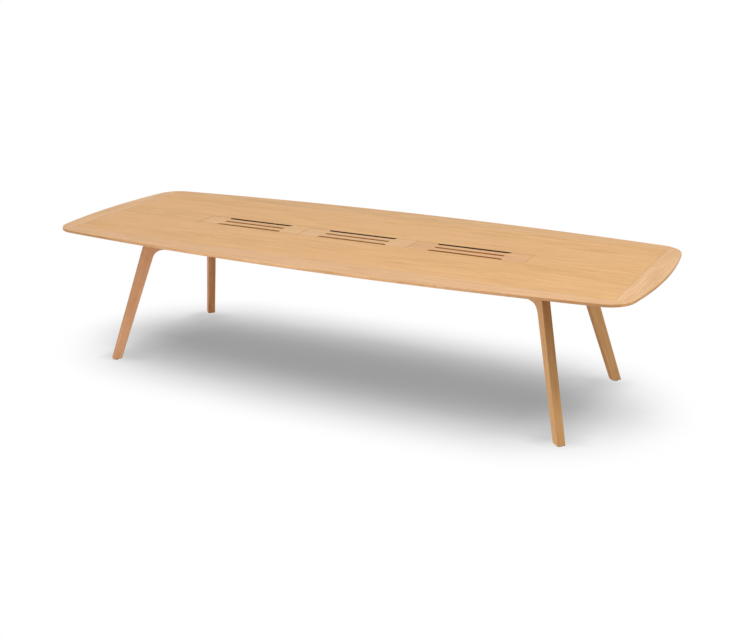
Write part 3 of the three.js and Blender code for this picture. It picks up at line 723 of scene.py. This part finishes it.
# %% A helper for node-made pieces
class NodeTool:
    """A Geometry Nodes tree with named sizes that can be used again and again."""

    def __init__(self, name, sizes, build):
        self.tree = bpy.data.node_groups.new(name, "GeometryNodeTree")
        recipe = Recipe(self.tree)
        new_socket = self.tree.interface.new_socket
        kinds = {"Geometry": "NodeSocketGeometry"}
        kinds.update({label: "NodeSocketFloat" for label in sizes})
        kinds["Finish"] = "NodeSocketMaterial"
        self.sockets = {}
        for label, kind in kinds.items():
            self.sockets[label] = new_socket(label, in_out="INPUT", socket_type=kind)
        new_socket("Geometry", in_out="OUTPUT", socket_type="NodeSocketGeometry")
        source = self.tree.nodes.new("NodeGroupInput")
        inputs = {label: Wire(recipe, source.outputs[label]) for label in self.sockets}
        shape = build(recipe, inputs)
        shape = recipe.node("GeometryNodeRealizeInstances", sockets={"Geometry": shape})
        settled = {"Geometry": shape, "Material": inputs["Finish"]}
        shape = recipe.node("GeometryNodeSetMaterial", sockets=settled)
        recipe.node("NodeGroupOutput", sockets={0: shape})

    def make(self, name, sizes, material, points=(), **fields):
        """A plain mesh object made by the tree from some starting points and their named values."""
        bm = bmesh.new()
        for point in points:
            bm.verts.new(point)
        thing = plain_object(name, bm)
        for label, values in fields.items():
            field = thing.data.attributes.new(label, "FLOAT", "POINT")
            field.data.foreach_set("value", values)
        modifier = thing.modifiers.new("tool", "NODES")
        modifier.node_group = self.tree
        for label, value in sizes.items():
            modifier[self.sockets[label].identifier] = value
        modifier[self.sockets["Finish"].identifier] = material
        return baked(thing)


def moved(recipe, shape, x, y, z):
    sockets = {"Geometry": shape, "Translation": recipe.join(x, y, z)}
    return recipe.node("GeometryNodeTransform", sockets=sockets)


def block(recipe, x, y, z):
    return recipe.node("GeometryNodeMeshCube", sockets={"Size": recipe.join(x, y, z)})


print("node tools ready")

# %% A plate with three slots
ROUND_STEPS = 12
NEARLY_HALF = 0.4999


def round_ended_cutter(recipe, length, width, height, aside):
    """A tall prism with round ends, moved aside across the lid."""
    loop = recipe.node("GeometryNodeCurvePrimitiveQuadrilateral", {"mode": "RECTANGLE"},
                       {"Width": length, "Height": width})
    loop = recipe.node("GeometryNodeFilletCurve", {"mode": "POLY"},
                       {"Curve": loop, "Count": ROUND_STEPS, "Radius": width * NEARLY_HALF})
    ends = {"Start": recipe.join(0.0, 0.0, height * -1), "End": recipe.join(0.0, 0.0, height)}
    path = recipe.node("GeometryNodeCurvePrimitiveLine", sockets=ends)
    sockets = {"Curve": path, "Profile Curve": loop, "Fill Caps": True}
    prism = recipe.node("GeometryNodeCurveToMesh", sockets=sockets)
    return moved(recipe, prism, 0.0, aside, 0.0)


def slotted_plate(recipe, size):
    plate = block(recipe, size["Length"], size["Width"], size["Thickness"])
    edge = size["Width"] * 0.5
    notch = (size["Notch length"], size["Notch depth"] * 2, size["Thickness"])
    cutters = [
        round_ended_cutter(recipe, size["Slot length"], size["Slot width"], size["Thickness"], 0.0),
        round_ended_cutter(recipe, *notch, edge),
        round_ended_cutter(recipe, *notch, edge * -1),
    ]
    cut = recipe.node("GeometryNodeMeshBoolean", {"operation": "DIFFERENCE", "solver": "EXACT"},
                      {"Mesh 1": plate, "Mesh 2": cutters})
    return moved(recipe, cut, size["Place along"], 0.0, size["Middle height"])


SLOT = {"Slot length": 0.372, "Slot width": 0.021, "Notch length": 0.395, "Notch depth": 0.021}
PLATE = ["Length", "Width", "Thickness", "Place along", "Middle height"]
lid_tool = NodeTool("slotted_lid", [*PLATE, *SLOT], slotted_plate)
print("lid tree:", len(lid_tool.tree.nodes), "nodes")

# %% Make the lids
LID_ARRIS = 0.0012
LID_ARRIS_STEPS = 3
END_PLAY = 0.0005
LID_SHIFT = 4

for index, body in enumerate(("lid_left", "lid_middle", "lid_right"), 1):
    node = f"lid_{index}"
    low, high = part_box(node)
    middle = (low + high) / 2
    length = high.x - low.x - 2 * END_PLAY
    plate = (length, high.y - low.y, high.z - low.z, middle.x, middle.z)
    sizes = {**dict(zip(PLATE, plate)), **SLOT}
    lid = lid_tool.make(f"oak_{node}", sizes, lid_finishes[node])
    eased(lid, LID_ARRIS, LID_ARRIS_STEPS)
    grain = lambda p: (p.x + LID_SHIFT * index, p.y + index, p.z)
    finish_piece(lid, body, lid_finishes[node], [node], grain)

# %% [markdown]
# ## Legs and arms
# Each leg is a tapered post that leans outwards in a plane turned by 45 degrees. At the top it turns in
# under the table through a rounded knee, and a level arm carries on to the steel beams. The two meet in a
# mitre with a loose tenon. The knee is drawn once as a flat outline, given its thickness and soft arrises,
# and then sawn into leg and arm, so that the rounds run through the joint without a step.

# %% Knee outline
FOOT_X = 1.273
FOOT_Y = 0.446
LEG_SPLAY = math.radians(20)
FOOT_WIDTH = 0.0485
HEAD_WIDTH = 0.069
LEG_ARRIS = 0.0035
ARM_DEPTH = 0.1
KNEE_RADIUS = 0.058
KNEE_STEPS = 16
LEG_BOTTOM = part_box("leg_near_left")[0].z
LEG_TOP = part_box("leg_near_left")[1].z
ARM_UNDERSIDE = UNDERSIDE - ARM_DEPTH
OVERCUT = 0.02
ARM_REACH = 0.6


def leg_edge(height, side):
    """Distance along the leg's plane of its outer (1) or inner (-1) edge at a height."""
    width = FOOT_WIDTH + (HEAD_WIDTH - FOOT_WIDTH) * height / UNDERSIDE
    return side * width / 2 - height * math.tan(LEG_SPLAY)


lean = (leg_edge(0, -1) - leg_edge(UNDERSIDE, -1)) / UNDERSIDE
round_height = ARM_UNDERSIDE - KNEE_RADIUS
round_reach = leg_edge(round_height, -1) - KNEE_RADIUS * math.hypot(1, lean)
round_start = math.atan(lean)


def on_round(turn):
    reach = round_reach + KNEE_RADIUS * math.cos(turn)
    return Vector((reach, round_height + KNEE_RADIUS * math.sin(turn)))


def knee_outline():
    above = LEG_TOP + OVERCUT
    points = [
        Vector((leg_edge(LEG_BOTTOM, -1), LEG_BOTTOM)),
        Vector((leg_edge(LEG_BOTTOM, 1), LEG_BOTTOM)),
        Vector((leg_edge(above, 1), above)),
        Vector((-ARM_REACH, above)),
        Vector((-ARM_REACH, ARM_UNDERSIDE)),
    ]
    for index in range(KNEE_STEPS + 1):
        points.append(on_round(math.pi / 2 + (round_start - math.pi / 2) * index / KNEE_STEPS))
    return points


mitre_low = on_round((math.pi / 2 + round_start) / 2)
mitre_high = Vector((leg_edge(LEG_TOP, 1), LEG_TOP))
mitre_up = (mitre_high - mitre_low).normalized()
mitre_out = Vector((mitre_up.y, -mitre_up.x))
print("mitre length in millimetres:", round((mitre_high - mitre_low).length * 1000, 1))

# %% The solid knee and its cuts
ARRIS_STEPS = 5
FOOT_ROUND = 0.003
FOOT_STEPS = 4


def knee_solid():
    """The whole knee in its own plane, with rounded arrises and a flat top."""
    bm = bmesh.new()
    sheets = []
    for side in (-LEG_THICKNESS / 2, LEG_THICKNESS / 2):
        sheets.append([bm.verts.new((p.x, side, p.y)) for p in knee_outline()])
    count = len(sheets[0])
    bm.faces.new(sheets[0])
    bm.faces.new(list(reversed(sheets[1])))
    for index in range(count):
        after = (index + 1) % count
        bm.faces.new((sheets[0][index], sheets[1][index], sheets[1][after], sheets[0][after]))
    bmesh.ops.recalc_face_normals(bm, faces=bm.faces)
    rims = [e for e in bm.edges if abs(e.verts[0].co.y - e.verts[1].co.y) < TOUCH]
    bmesh.ops.bevel(bm, geom=rims, offset=LEG_ARRIS, segments=ARRIS_STEPS, affect="EDGES", profile=0.5)
    keep_inside(bm, (0, 0, LEG_TOP), (0, 0, 1))
    return bm


def round_foot(bm):
    """Draws the end of the leg in towards its axis, along a quarter of a circle."""
    start = LEG_BOTTOM + FOOT_ROUND
    for index in range(FOOT_STEPS):
        level = start - FOOT_ROUND * math.sin(math.pi / 2 * index / FOOT_STEPS)
        everything = bm.verts[:] + bm.edges[:] + bm.faces[:]
        bmesh.ops.bisect_plane(bm, geom=everything, plane_co=(0, 0, level), plane_no=(0, 0, 1))
    for vert in [v for v in bm.verts if v.co.z < start - TOUCH]:
        depth = min(start - vert.co.z, FOOT_ROUND)
        inset = FOOT_ROUND - math.sqrt(FOOT_ROUND ** 2 - depth ** 2)
        inner, outer = leg_edge(vert.co.z, -1), leg_edge(vert.co.z, 1)
        middle = (inner + outer) / 2
        vert.co.x = middle + (vert.co.x - middle) * (1 - 2 * inset / (outer - inner))
        vert.co.y *= 1 - 2 * inset / LEG_THICKNESS


def mitre_cut(bm, side):
    """Keeps the leg (1) or the arm (-1) of the knee, half the fit away from the mitre."""
    gap = mitre_out * (side * FIT / 2)
    point = (mitre_low.x + gap.x, 0, mitre_low.y + gap.y)
    keep_inside(bm, point, (-side * mitre_out.x, 0, -side * mitre_out.y))


knee = knee_solid()
print("knee faces:", len(knee.faces))

# %% Saw legs and arms out of the knee
LEG_TURNS = {1: math.radians(45), -1: math.radians(135)}
ARM_END = 0.1256
CORNERS = {
    "near_left": (-1, -1),
    "near_right": (1, -1),
    "far_left": (-1, 1),
    "far_right": (1, 1),
}


def leg_grain(p):
    along = p.z * math.cos(LEG_SPLAY) - p.x * math.sin(LEG_SPLAY)
    across = p.x * math.cos(LEG_SPLAY) + p.z * math.sin(LEG_SPLAY)
    return (along, across, p.y)


def corner_place(sign_x, sign_y):
    turn = sign_y * LEG_TURNS[sign_x]
    return Matrix.Translation((sign_x * FOOT_X, sign_y * FOOT_Y, 0)) @ Matrix.Rotation(turn, 4, "Z")


for number, (corner, (sign_x, sign_y)) in enumerate(CORNERS.items()):
    place = corner_place(sign_x, sign_y)
    back = place.inverted()
    shift = Vector((POST_SPACING * number, number, 0))

    leg = knee.copy()
    mitre_cut(leg, 1)
    round_foot(leg)
    bmesh.ops.transform(leg, matrix=place, verts=leg.verts)
    leg = plain_object("shaped_leg_" + corner, leg)
    carve(leg, ["knee_tenon_" + corner, "glide_" + corner], FIT)
    finish_piece(leg, "table", leg_finishes[corner], ["leg_" + corner],
                 lambda p: Vector(leg_grain(back @ p)) + shift)

    arm = knee.copy()
    mitre_cut(arm, -1)
    bmesh.ops.transform(arm, matrix=place, verts=arm.verts)
    keep_inside(arm, (0, sign_y * ARM_END, 0), (0, -sign_y, 0))
    arm = plain_object("shaped_arm_" + corner, arm)
    bolts = ["saddle_bolt_outer_" + corner, "saddle_bolt_inner_" + corner]
    carve(arm, ["knee_tenon_" + corner, *bolts], FIT)
    finish_piece(arm, "table", leg_finishes[corner], ["arm_" + corner],
                 lambda p: Vector(((back @ p).x, (back @ p).z, (back @ p).y)) + shift)
knee.free()

# %% [markdown]
# ## Bolts and screws
# Two connector bolts hold each arm in its saddle, and four screws hold each cleat to the arm and the top.
# They repeat, so each kind is built once in Geometry Nodes and put on points that carry their direction.
# A connector bolt has a flat round head with a six-sided socket at both ends, a screw a round head with
# a cross recess.

# %% One bolt and one screw
BOLT = {"Shank radius": 0.004, "Head radius": 0.009, "Head height": 0.003, "Socket radius": 0.0035}
SCREW = {"Head radius": 0.0045, "Head height": 0.0022, "Recess length": 0.0054, "Recess width": 0.0011}
SHANK_SIDES, HEAD_SIDES, SOCKET_SIDES, SCREW_SIDES = 32, 48, 6, 32
SOCKET_REACH = 1.2


def rod_at(recipe, sides, radius, length, height):
    """A rod along Z with its middle at a height."""
    sockets = {"Vertices": sides, "Radius": radius, "Depth": length}
    rod = recipe.node("GeometryNodeMeshCylinder", sockets=sockets)
    return moved(recipe, rod, 0.0, 0.0, height)


def joined(recipe, operation, sockets):
    settings = {"operation": operation, "solver": "EXACT"}
    return recipe.node("GeometryNodeMeshBoolean", settings, sockets)


def on_points(recipe, points, shape):
    """The shape put on every point, leant about Y and turned about Z by the point's own values."""
    def value(name):
        settings = {"data_type": "FLOAT"}
        return recipe.node("GeometryNodeInputNamedAttribute", settings, {"Name": name})

    turns = recipe.join(0.0, value("lean"), value("turn"))
    sockets = {"Points": points, "Instance": shape, "Rotation": turns}
    return recipe.node("GeometryNodeInstanceOnPoints", sockets=sockets)


def connector_bolt(recipe, size):
    height, half = size["Head height"], size["Half length"]
    head = half - height * 0.5
    parts = [rod_at(recipe, SHANK_SIDES, size["Shank radius"], half * 2 - height, 0.0)]
    hollows = []
    for side in (-1, 1):
        parts.append(rod_at(recipe, HEAD_SIDES, size["Head radius"], height, head * side))
        deep = height * SOCKET_REACH
        hollows.append(rod_at(recipe, SOCKET_SIDES, size["Socket radius"], deep, half * side))
    whole = joined(recipe, "UNION", {"Mesh 2": parts})
    whole = joined(recipe, "DIFFERENCE", {"Mesh 1": whole, "Mesh 2": hollows})
    return on_points(recipe, size["Geometry"], whole)


def cross_screw(recipe, size):
    height = size["Head height"]
    head = rod_at(recipe, SCREW_SIDES, size["Head radius"], height, height * 0.5)
    bars = []
    for x, y in (("Recess length", "Recess width"), ("Recess width", "Recess length")):
        bar = block(recipe, size[x], size[y], height)
        bars.append(moved(recipe, bar, 0.0, 0.0, height))
    cut = joined(recipe, "DIFFERENCE", {"Mesh 1": head, "Mesh 2": bars})
    return on_points(recipe, size["Geometry"], cut)


bolt_tool = NodeTool("connector_bolt", [*BOLT, "Half length"], connector_bolt)
screw_tool = NodeTool("cross_screw", list(SCREW), cross_screw)
print("bolt and screw trees:", len(bolt_tool.tree.nodes), len(screw_tool.tree.nodes), "nodes")

# %% Put the bolts and screws in place
SCREW_SPREAD = 0.019
LEAF_MIDDLE = 0.021
FASTENER_ROUND = 0.0004
FASTENER_STEPS = 2

bolts = [name for name in nodes if name.startswith("saddle_bolt_")]
corner_of = lambda name: "_".join(name.split("_")[-2:])
middles, turns = [], []
for name in bolts:
    low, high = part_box(name)
    middles.append((low + high) / 2)
    turns.append(corner_place(*CORNERS[corner_of(name)]).to_euler().z + math.pi / 2)
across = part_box(bolts[0])[1].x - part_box(bolts[0])[0].x
half_length = (across / DIAGONAL - 2 * BOLT["Head radius"]) / 2
sizes = {**BOLT, "Half length": half_length}
leans = [math.pi / 2] * len(bolts)
made = bolt_tool.make("connector_bolts", sizes, FINISHES["zinc_steel"], middles, lean=leans, turn=turns)
eased(made, FASTENER_ROUND, FASTENER_STEPS)
finish_piece(made, "table", FINISHES["zinc_steel"], bolts)
print("bolt length in millimetres:", round(2000 * half_length, 1))

points, leans, turns = [], [], []
for name in [name for name in nodes if name.startswith("cleat_")]:
    place = corner_place(*CORNERS[corner_of(name)])
    back = place.inverted()
    corners = [back @ vert.co for vert in nodes[name].data.vertices]
    middle = (min(p.x for p in corners) + max(p.x for p in corners)) / 2
    top = max(p.z for p in corners)
    inner = min((p.y for p in corners), key=abs)
    hand = math.copysign(1, inner)
    thickness = top - min(p.z for p in corners if abs(p.y) > abs(inner) + LEAF_MIDDLE)
    for side in (-1, 1):
        along = middle + side * SCREW_SPREAD
        points.append(place @ Vector((along, inner + hand * LEAF_MIDDLE, top - thickness)))
        leans.append(math.pi)
        turns.append(0.0)
        points.append(place @ Vector((along, inner + hand * thickness, top - LEAF_MIDDLE)))
        leans.append(math.pi / 2)
        turns.append(place.to_euler().z + hand * math.pi / 2)
made = screw_tool.make("cleat_screws", SCREW, FINISHES["zinc_steel"], points, lean=leans, turn=turns)
eased(made, FASTENER_ROUND, FASTENER_STEPS)
finish_piece(made, "table", FINISHES["zinc_steel"], [])
print("cleat screws:", len(points))

# %% [markdown]
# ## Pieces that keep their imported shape
# Beams, end ties, tray, lid frame, saddles, cleats, glides and the loose joinery already have their true
# shape, so they stay and only take a finish.

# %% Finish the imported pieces
GIVEN = {
    "black_steel": ("lid_frame", "cable_tray", "beam_", "end_tie_", "saddle_near", "saddle_far"),
    "zinc_steel": ("cleat_",),
    "glide_plastic": ("glide_",),
    "joinery_wood": ("tongue_", "knee_tenon_"),
}
for finish, starts in GIVEN.items():
    chosen = [name for name in nodes if name.startswith(starts)]
    for name in chosen:
        nodes[name].material_slots[0].material = FINISHES[finish]
    print(finish, "on", len(chosen), "packed pieces")

# %% [markdown]
# ## Floor
# The table stands on a white studio floor under light from all around, which leaves one wide, soft shadow.
# A shadow that soft is grainy when it is sampled in the render, so it is worked out here once. From every
# point of a floor grid, rays go up to a disc overhead, and the share that passes the table is kept as an
# attribute. The picture shows that share as the shadow, while bounced light meets a plain pale floor.

# %% Soft shadow on the floor
FLOOR_HALF = 60.0
SHADE_STEP = 0.1
SHADE_X, SHADE_Y = 2.5, 1.5
SHADE_RAYS = 200
SHADE_DISC = 0.62
SHADE_LEAN = Vector((0.035, -0.012, 0.0))
GOLDEN_TURN = math.pi * (3 - math.sqrt(5))
RAY_START = 0.0005


def disc_directions():
    """Rays from the floor to points spread evenly over the disc, at the height of the top."""
    found = []
    for index in range(SHADE_RAYS):
        reach = SHADE_DISC * math.sqrt((index + 0.5) / SHADE_RAYS)
        turn = GOLDEN_TURN * index
        aim = Vector((reach * math.cos(turn), reach * math.sin(turn), TOP))
        found.append((aim + SHADE_LEAN).normalized())
    return found


def grid_line(half):
    count = round(2 * half / SHADE_STEP)
    inner = [-half + SHADE_STEP * index for index in range(count + 1)]
    return [-FLOOR_HALF, *inner, FLOOR_HALF]


def open_shares(places):
    """For each place, the share of rays that pass the table."""
    scene = bpy.context.scene
    graph = bpy.context.evaluated_depsgraph_get()
    rays = disc_directions()
    shares = []
    for place in places:
        start = Vector((*place, RAY_START))
        blocked = sum(scene.ray_cast(graph, start, ray, distance=2 * TOP)[0] for ray in rays)
        shares.append(1 - blocked / SHADE_RAYS)
    return shares


columns, rows = grid_line(SHADE_X), grid_line(SHADE_Y)
places = [(x, y) for y in rows for x in columns]
shares = open_shares(places)
print("floor points:", len(places), "least open share:", round(min(shares), 3))

# %% Floor
FLOOR_BOUNCE = (0.85, 0.85, 0.85, 1.0)
DEEPEST_SHADE = 0.342
SHADE_ENDS = 0.79


def background_rays(recipe):
    """1 for rays that show the background: from the camera, off gloss or through glass."""
    rays = recipe.node("ShaderNodeLightPath").socket.node.outputs
    shown = Wire(recipe, rays["Is Camera Ray"])
    for kind in ("Is Glossy Ray", "Is Transmission Ray"):
        shown = shown.math("MAXIMUM", Wire(recipe, rays[kind]))
    return shown


def studio_floor():
    paint = Finish("studio_floor")
    share = paint.node("ShaderNodeAttribute", {"attribute_name": "open_share"}, out="Fac")
    white = paint.step(share, 0.0, SHADE_ENDS) * (1 - DEEPEST_SHADE) + DEEPEST_SHADE
    shown = paint.node("ShaderNodeEmission", sockets={"Color": paint.join(white, white, white)})
    bounce = paint.node("ShaderNodeBsdfDiffuse", sockets={"Color": FLOOR_BOUNCE})
    both = {0: background_rays(paint), 1: bounce, 2: shown}
    surface = paint.node("ShaderNodeMixShader", sockets=both)
    paint.node("ShaderNodeOutputMaterial", sockets={"Surface": surface})
    return paint.material


bm = bmesh.new()
points = [bm.verts.new((*place, 0)) for place in places]
wide = len(columns)
for index in range(len(points) - wide):
    if (index + 1) % wide:
        bm.faces.new([points[index + step] for step in (0, 1, wide + 1, wide)])
floor = plain_object("studio_floor", bm)
kept = floor.data.attributes.new("open_share", "FLOAT", "POINT")
kept.data.foreach_set("value", shares)
floor.data.materials.append(studio_floor())
floor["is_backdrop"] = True
print("floor faces:", len(floor.data.polygons))

# %% [markdown]
# ## Light and camera
# A large soft light hangs overhead, a little to the right and in front, in an even white surround. A low
# fill in front reaches the legs under the top, and a soft key high over the near right corner lifts it.

# %% Light
SURROUND = 0.19
OVERHEAD_SHARE = 0.64
OVERHEAD_SOFTNESS = math.radians(130)
OVERHEAD_FROM = Vector((0.15, -0.25, 1.0))

world = bpy.data.worlds.new("studio_surround")
world.use_nodes = True
world.node_tree.nodes.clear()
sky = Recipe(world.node_tree)
level = background_rays(sky) * (1 - SURROUND) + SURROUND
background = sky.node("ShaderNodeBackground", sockets={"Color": (1, 1, 1, 1), "Strength": level})
sky.node("ShaderNodeOutputWorld", sockets={"Surface": background})
bpy.context.scene.world = world

overhead = bpy.data.lights.new("overhead", "SUN")
overhead.energy = OVERHEAD_SHARE * math.pi
overhead.angle = OVERHEAD_SOFTNESS
overhead_lamp = bpy.data.objects.new("overhead", overhead)
overhead_lamp.rotation_euler = (-OVERHEAD_FROM).to_track_quat("-Z", "Y").to_euler()
bpy.context.collection.objects.link(overhead_lamp)


def soft_box(name, place, aim, size, power):
    """A square lamp that lights the table and is never in the picture itself."""
    light = bpy.data.lights.new(name, "AREA")
    light.size = size
    light.energy = power
    lamp = bpy.data.objects.new(name, light)
    lamp.location = place
    lamp.rotation_euler = (aim - place).to_track_quat("-Z", "Y").to_euler()
    lamp.visible_camera = False
    bpy.context.collection.objects.link(lamp)


FILL_PLACE, FILL_AIM = Vector((-0.7, -3.4, 0.8)), Vector((0, 0, 0.4))
KEY_PLACE, KEY_AIM = Vector((2.2, -1.45, 3.25)), Vector((1.35, -0.5, 0.6))
soft_box("front_fill", FILL_PLACE, FILL_AIM, size=1.6, power=26)
soft_box("right_key", KEY_PLACE, KEY_AIM, size=0.8, power=22)

# %% Camera
IMAGE_WIDTH, IMAGE_HEIGHT = 755, 640
SENSOR = 36.0
EYE = Vector((2.7456, -5.0388, 2.2358))
YAW, PITCH, ROLL = 0.474345, 0.343501, -0.007936
FOCAL_PIXELS = 1150.456
CENTRE_X, CENTRE_Y = 385.183, 336.427
FAR_CLIP = 500

lens = bpy.data.cameras.new("camera")
lens.sensor_fit = "HORIZONTAL"
lens.sensor_width = SENSOR
lens.lens = FOCAL_PIXELS * SENSOR / IMAGE_WIDTH
lens.shift_x = (IMAGE_WIDTH / 2 - CENTRE_X) / IMAGE_WIDTH
lens.shift_y = (CENTRE_Y - IMAGE_HEIGHT / 2) / IMAGE_WIDTH
lens.clip_end = FAR_CLIP
camera = bpy.data.objects.new("camera", lens)
aim = Matrix.Rotation(YAW, 4, "Z") @ Matrix.Rotation(math.pi / 2 - PITCH, 4, "X")
aim = aim @ Matrix.Rotation(ROLL, 4, "Z")
camera.matrix_world = Matrix.Translation(EYE) @ aim
bpy.context.collection.objects.link(camera)
bpy.context.scene.camera = camera
bpy.context.scene.view_settings.view_transform = "Standard"
print("lens in millimetres:", round(lens.lens, 2))

# %% [markdown]
# ## Size of the finished table
# The boxes of the imported model and of the finished table are put side by side, and the finished size is
# printed. The finished table must stay inside the imported model's box.

# %% Both sizes
low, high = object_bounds()
sizes = {"cad": [list(cad_low), list(cad_high)], "visual": [list(low), list(high)]}
print("visual size in metres:", [round(v, 4) for v in high - low])
